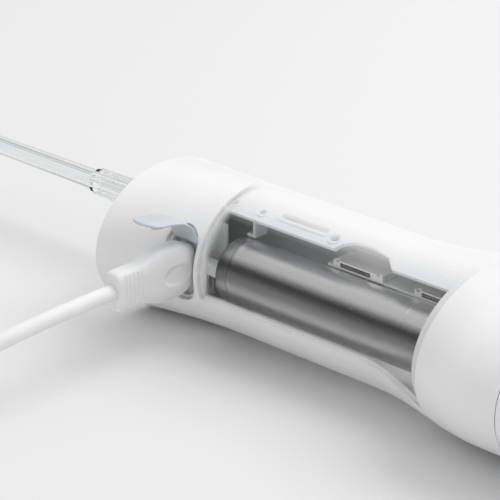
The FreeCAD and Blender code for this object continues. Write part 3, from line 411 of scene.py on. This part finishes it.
def brushedGroup():
    # hair-fine lines round the X axis, as on a drawn and turned can
    takes = [("Vector", "NodeSocketVector"), ("Along", "NodeSocketFloat"), ("Across", "NodeSocketFloat")]
    gives = [("Height", "NodeSocketFloat"), ("Streaks", "NodeSocketFloat")]
    tree, start, end = makeGroup("brushedLines", takes, gives)
    split = addNode(tree, "ShaderNodeSeparateXYZ", {"Vector": start.outputs[0]})
    x = mathNode(tree, "MULTIPLY", split.outputs[0], start.outputs[1])
    y = mathNode(tree, "MULTIPLY", split.outputs[1], start.outputs[2])
    z = mathNode(tree, "MULTIPLY", split.outputs[2], start.outputs[2])
    joined = addNode(tree, "ShaderNodeCombineXYZ", {"X": x, "Y": y, "Z": z})
    lines = addNode(tree, "ShaderNodeTexNoise", {"Vector": joined.outputs[0]}, Scale=1.0, Detail=4.0)
    broad = addNode(tree, "ShaderNodeTexNoise", {"Vector": joined.outputs[0]}, Scale=0.13, Detail=2.0)
    tree.links.new(lines.outputs[0], end.inputs[0])
    tree.links.new(broad.outputs[0], end.inputs[1])
    return tree


moulded = mouldedGroup()
brushed = brushedGroup()


def newMaterial(name):
    material = bpy.data.materials.new(name)
    material.use_nodes = True
    tree = material.node_tree
    tree.nodes.clear()
    end = tree.nodes.new("ShaderNodeOutputMaterial")
    shader = tree.nodes.new("ShaderNodeBsdfPrincipled")
    tree.links.new(shader.outputs[0], end.inputs[0])
    coords = tree.nodes.new("ShaderNodeTexCoord")
    return material, tree, shader, coords.outputs["Object"]


def placeGroup(tree, group, vector, **values):
    node = tree.nodes.new("ShaderNodeGroup")
    node.node_tree = group
    tree.links.new(vector, node.inputs["Vector"])
    for key, value in values.items():
        node.inputs[key].default_value = value
    return node


def spread(tree, factor, low, high):
    node = addNode(tree, "ShaderNodeMapRange", {"Value": factor})
    node.inputs["From Min"].default_value = 0.3
    node.inputs["From Max"].default_value = 0.7
    node.inputs["To Min"].default_value = low
    node.inputs["To Max"].default_value = high
    return node.outputs[0]


def blendColours(tree, factor, first, second):
    node = tree.nodes.new("ShaderNodeMix")
    node.data_type = "RGBA"
    tree.links.new(factor, node.inputs["Factor"])
    node.inputs["A"].default_value = (*first, 1.0)
    node.inputs["B"].default_value = (*second, 1.0)
    return node.outputs["Result"]


def addBump(tree, height, depth):
    bump = addNode(tree, "ShaderNodeBump", {"Height": height}, Strength=1.0, Distance=depth)
    return bump.outputs[0]


def plastic(name, light, dark, rough, grain=2600.0, patch=60.0, depth=0.000012, coat=0.0, soft=0.0):
    material, tree, shader, vector = newMaterial(name)
    skin = placeGroup(tree, moulded, vector, Grain=grain, Patch=patch)
    tone = blendColours(tree, spread(tree, skin.outputs["Drift"], 0.0, 1.0), light, dark)
    tree.links.new(tone, shader.inputs["Base Color"])
    tree.links.new(spread(tree, skin.outputs["Height"], rough[0], rough[1]), shader.inputs["Roughness"])
    tree.links.new(addBump(tree, skin.outputs["Height"], depth), shader.inputs["Normal"])
    shader.inputs["Coat Weight"].default_value = coat
    shader.inputs["Coat Roughness"].default_value = 0.12
    if soft:
        shader.inputs["Subsurface Weight"].default_value = soft
        shader.inputs["Subsurface Radius"].default_value = (1.0, 0.9, 0.85)
        shader.inputs["Subsurface Scale"].default_value = 0.002
    return material


# painted reflection and painted shade on the can: tones by angle up from the port side, brightest on top,
# darkest in a band near 30 degrees
cellPaintedLight = {"y": -9.0, "wander": 9.0, "angles": (-60.0, -20.0, 12.0, 30.0, 52.0, 95.0),
            "paintedTones": (0.75, 0.6, 0.2, 0.045, 0.5, 1.0)}


def paintedLightSteel(b):
    # satin steel with painted reflection and painted shade: its colour changes round the can by the angle up
    # from the port side
    material, tree, shader, vector = newMaterial("cell_steel_painted_light")
    split = addNode(tree, "ShaderNodeSeparateXYZ", {"Vector": vector})
    across = mathNode(tree, "SUBTRACT", float(origin[1]) + b["y"] * mm, split.outputs[1])
    rise = mathNode(tree, "SUBTRACT", split.outputs[2], float(origin[2]))
    angle = mathNode(tree, "DEGREES", mathNode(tree, "ARCTAN2", rise, across))
    lines = placeGroup(tree, brushed, vector, Along=900.0, Across=2400.0)
    unevenness = mathNode(tree, "SUBTRACT", lines.outputs["Height"], 0.5)
    wander = mathNode(tree, "MULTIPLY", unevenness, b["wander"])
    place = addNode(tree, "ShaderNodeMapRange", {"Value": mathNode(tree, "ADD", angle, wander)})
    place.inputs["From Min"].default_value = b["angles"][0]
    place.inputs["From Max"].default_value = b["angles"][-1]
    # the ramp paints the reflection and shade into the base colour
    ramp = addNode(tree, "ShaderNodeValToRGB", {"Fac": place.outputs[0]})
    ramp.color_ramp.interpolation = "EASE"
    whole = b["angles"][-1] - b["angles"][0]
    while len(ramp.color_ramp.elements) < len(b["angles"]):
        ramp.color_ramp.elements.new(0.5)
    for stop, at, tone in zip(ramp.color_ramp.elements, b["angles"], b["paintedTones"]):
        stop.position = (at - b["angles"][0]) / whole
        stop.color = (tone, tone, tone * 1.01, 1.0)
    tree.links.new(ramp.outputs[0], shader.inputs["Base Color"])
    tree.links.new(spread(tree, lines.outputs["Height"], 0.3, 0.4), shader.inputs["Roughness"])
    tree.links.new(addBump(tree, lines.outputs["Height"], 0.0000015), shader.inputs["Normal"])
    shader.inputs["Metallic"].default_value = 1.0
    return material


def metal(name, light, dark, rough, along=9000.0, across=60.0, depth=0.000004):
    material, tree, shader, vector = newMaterial(name)
    lines = placeGroup(tree, brushed, vector, Along=along, Across=across)
    tone = blendColours(tree, spread(tree, lines.outputs["Streaks"], 0.0, 1.0), light, dark)
    tree.links.new(tone, shader.inputs["Base Color"])
    tree.links.new(spread(tree, lines.outputs["Height"], rough[0], rough[1]), shader.inputs["Roughness"])
    tree.links.new(addBump(tree, lines.outputs["Height"], depth), shader.inputs["Normal"])
    shader.inputs["Metallic"].default_value = 1.0
    return material


sleeveGlass = {"clearLow": -13.0, "whiteLow": -19.0, "clearHigh": 46.0, "whiteHigh": 104.0,
               "startWhite": 29.0, "startClear": 35.5, "veil": 0.02, "glow": 0.9}


def milkySleeve(s):
    # alpha rises from the veil over the cell to 1 above and below it, by the angle up from the port side
    material, tree, shader, vector = newMaterial("milky_sleeve")
    split = addNode(tree, "ShaderNodeSeparateXYZ", {"Vector": vector})
    across = mathNode(tree, "SUBTRACT", float(origin[1]), split.outputs[1])
    rise = mathNode(tree, "SUBTRACT", split.outputs[2], float(origin[2]))
    angle = mathNode(tree, "DEGREES", mathNode(tree, "ARCTAN2", rise, across))

    def ramp(value, low, high, first, last):
        node = addNode(tree, "ShaderNodeMapRange", {"Value": value})
        node.interpolation_type = "SMOOTHSTEP"
        for key, number in (("From Min", low), ("From Max", high), ("To Min", first), ("To Max", last)):
            node.inputs[key].default_value = number
        return node.outputs[0]

    over = ramp(angle, s["clearHigh"], s["whiteHigh"], 0.0, 1.0)
    under = ramp(angle, s["whiteLow"], s["clearLow"], 1.0, 0.0)
    ahead = ramp(split.outputs[0], float(origin[0]) + s["startWhite"] * mm,
                 float(origin[0]) + s["startClear"] * mm, 1.0, 0.0)
    white = mathNode(tree, "MAXIMUM", mathNode(tree, "MAXIMUM", over, under), ahead)
    skin = placeGroup(tree, moulded, vector, Grain=2600.0, Patch=60.0)
    veil = mathNode(tree, "ADD", mathNode(tree, "MULTIPLY", skin.outputs["Drift"], s["veil"]), s["veil"] / 2)
    # the milky part lets daylight through to what is inside, though it looks solid
    rays = tree.nodes.new("ShaderNodeLightPath")
    inner = mathNode(tree, "MAXIMUM", rays.outputs["Is Shadow Ray"], rays.outputs["Is Diffuse Ray"])
    passed = mathNode(tree, "SUBTRACT", 1.0, mathNode(tree, "MULTIPLY", inner, s["glow"]))
    shown = mathNode(tree, "MULTIPLY", mathNode(tree, "MAXIMUM", white, veil), passed)
    tree.links.new(shown, shader.inputs["Alpha"])
    tone = blendColours(tree, skin.outputs["Drift"], (0.92, 0.92, 0.925), (0.89, 0.89, 0.9))
    tree.links.new(tone, shader.inputs["Base Color"])
    tree.links.new(spread(tree, skin.outputs["Height"], 0.3, 0.4), shader.inputs["Roughness"])
    tree.links.new(addBump(tree, skin.outputs["Height"], 0.000008), shader.inputs["Normal"])
    return material


def clearPlastic(name, tint, rough):
    material, tree, shader, vector = newMaterial(name)
    skin = placeGroup(tree, moulded, vector, Grain=900.0, Patch=120.0)
    tone = blendColours(tree, skin.outputs["Drift"], tint, tuple(0.97 * c for c in tint))
    tree.links.new(tone, shader.inputs["Base Color"])
    tree.links.new(spread(tree, skin.outputs["Drift"], rough[0], rough[1]), shader.inputs["Roughness"])
    tree.links.new(addBump(tree, skin.outputs["Drift"], 0.00002), shader.inputs["Normal"])
    shader.inputs["Transmission Weight"].default_value = 1.0
    shader.inputs["IOR"].default_value = 1.49    # acrylic
    return material


finishes = {
    "white_shell": plastic("white_shell", (0.92, 0.92, 0.925), (0.89, 0.89, 0.9), (0.28, 0.4), coat=0.15),
    "clear_sleeve": milkySleeve(sleeveGlass),
    "clear_tip": clearPlastic("clear_tip", (0.97, 0.98, 0.985), (0.01, 0.05)),
    "steel_can": paintedLightSteel(cellPaintedLight),
    "plated_metal": metal("plated_metal", (0.72, 0.71, 0.69), (0.62, 0.61, 0.6), (0.18, 0.32), 4000.0, 400.0),
    "dark_contact": metal("dark_contact", (0.16, 0.16, 0.17), (0.09, 0.09, 0.1), (0.25, 0.4), 3000.0, 900.0),
    "grey_frame": plastic("grey_frame", (0.78, 0.79, 0.8), (0.72, 0.73, 0.745), (0.45, 0.6)),
    "drive_plastic": plastic("drive_plastic", (0.6, 0.61, 0.63), (0.52, 0.53, 0.55), (0.4, 0.55)),
    "grey_sleeve": plastic("grey_sleeve", (0.5, 0.51, 0.52), (0.44, 0.45, 0.46), (0.4, 0.55), soft=0.1),
    "frosted_block": plastic("frosted_block", (0.84, 0.85, 0.86), (0.78, 0.79, 0.8), (0.35, 0.5),
                             soft=0.3),
    "connector_white": plastic("connector_white", (0.88, 0.88, 0.87), (0.83, 0.83, 0.82), (0.38, 0.5)),
    "board": plastic("board", (0.82, 0.85, 0.82), (0.76, 0.79, 0.77), (0.3, 0.45), patch=400.0),
    "switch_black": plastic("switch_black", (0.05, 0.05, 0.055), (0.03, 0.03, 0.035), (0.35, 0.5)),
    "button_grey": plastic("button_grey", (0.82, 0.83, 0.84), (0.78, 0.79, 0.8), (0.25, 0.4), coat=0.1),
    "soft_rubber": plastic("soft_rubber", (0.62, 0.66, 0.7), (0.56, 0.6, 0.64), (0.45, 0.6), soft=0.1),
    "hose": plastic("hose", (0.84, 0.85, 0.85), (0.78, 0.79, 0.79), (0.25, 0.35), soft=0.4),
    "filter_white": plastic("filter_white", (0.88, 0.88, 0.88), (0.82, 0.82, 0.82), (0.4, 0.55)),
    "wire": plastic("wire", (0.7, 0.7, 0.71), (0.64, 0.64, 0.65), (0.35, 0.5)),
    "soft_white": plastic("soft_white", (0.88, 0.88, 0.885), (0.84, 0.84, 0.85), (0.5, 0.62),
                          depth=0.00002, soft=0.15),
    "tie": plastic("tie", (0.07, 0.07, 0.075), (0.045, 0.045, 0.05), (0.45, 0.6)),
}
for sub in frame["record"]["subparts"]:
    meshData = frame["nodes"][sub["node"]].data
    meshData.materials.clear()
    meshData.materials.append(finishes[sub["material_slot"]])
chargingLead.data.materials.append(finishes["soft_white"])
for piece, slotName in newPieces:
    piece.data.materials.append(finishes[slotName])
print("materials ready")

# ---------- floor and light ----------
studio = {"floorHalf": 3.0, "floorColour": (0.8, 0.8, 0.8), "keyPower": 5.6, "keySize": 0.8,
          "keyPlace": (0.3, 0.55, 0.9), "worldLow": 0.46, "worldHigh": 0.9,
          "skyStart": 0.3, "skyFull": 0.75}


def layFloor(s):
    h = s["floorHalf"]
    data = bpy.data.meshes.new("floor")
    data.from_pydata([(-h, -h, 0), (h, -h, 0), (h, h, 0), (-h, h, 0)], [], [(0, 1, 2, 3)])
    floor = bpy.data.objects.new("floor", data)
    bpy.context.scene.collection.objects.link(floor)
    material, tree, shader, vector = newMaterial("floor_paper")
    skin = placeGroup(tree, moulded, vector, Grain=500.0, Patch=3.0)
    colour = s["floorColour"]
    tone = blendColours(tree, skin.outputs["Drift"], colour, tuple(0.99 * c for c in colour))
    tree.links.new(tone, shader.inputs["Base Color"])
    shader.inputs["Roughness"].default_value = 0.7
    shader.inputs["Specular IOR Level"].default_value = 0.2
    data.materials.append(material)


def lightStudio(s):
    light = bpy.data.lights.new("key", "AREA")
    light.energy = s["keyPower"]
    light.size = s["keySize"]
    key = bpy.data.objects.new("key", light)
    key.location = s["keyPlace"]
    key.rotation_euler = (-Vector(s["keyPlace"])).to_track_quat("-Z", "Y").to_euler()
    bpy.context.scene.collection.objects.link(key)
    world = bpy.data.worlds.new("studio")
    world.use_nodes = True
    bpy.context.scene.world = world
    tree = world.node_tree
    tree.nodes.clear()
    coords = tree.nodes.new("ShaderNodeTexCoord")
    split = addNode(tree, "ShaderNodeSeparateXYZ", {"Vector": coords.outputs["Generated"]})
    level = addNode(tree, "ShaderNodeMapRange", {"Value": split.outputs[2]})
    level.interpolation_type = "SMOOTHSTEP"
    for name, number in (("From Min", s["skyStart"]), ("From Max", s["skyFull"]),
                         ("To Min", s["worldLow"]), ("To Max", s["worldHigh"])):
        level.inputs[name].default_value = number
    sky = addNode(tree, "ShaderNodeBackground", {"Strength": level.outputs[0]}, Color=(1, 1, 1, 1))
    end = tree.nodes.new("ShaderNodeOutputWorld")
    tree.links.new(sky.outputs[0], end.inputs[0])


layFloor(studio)
lightStudio(studio)
print("studio ready")
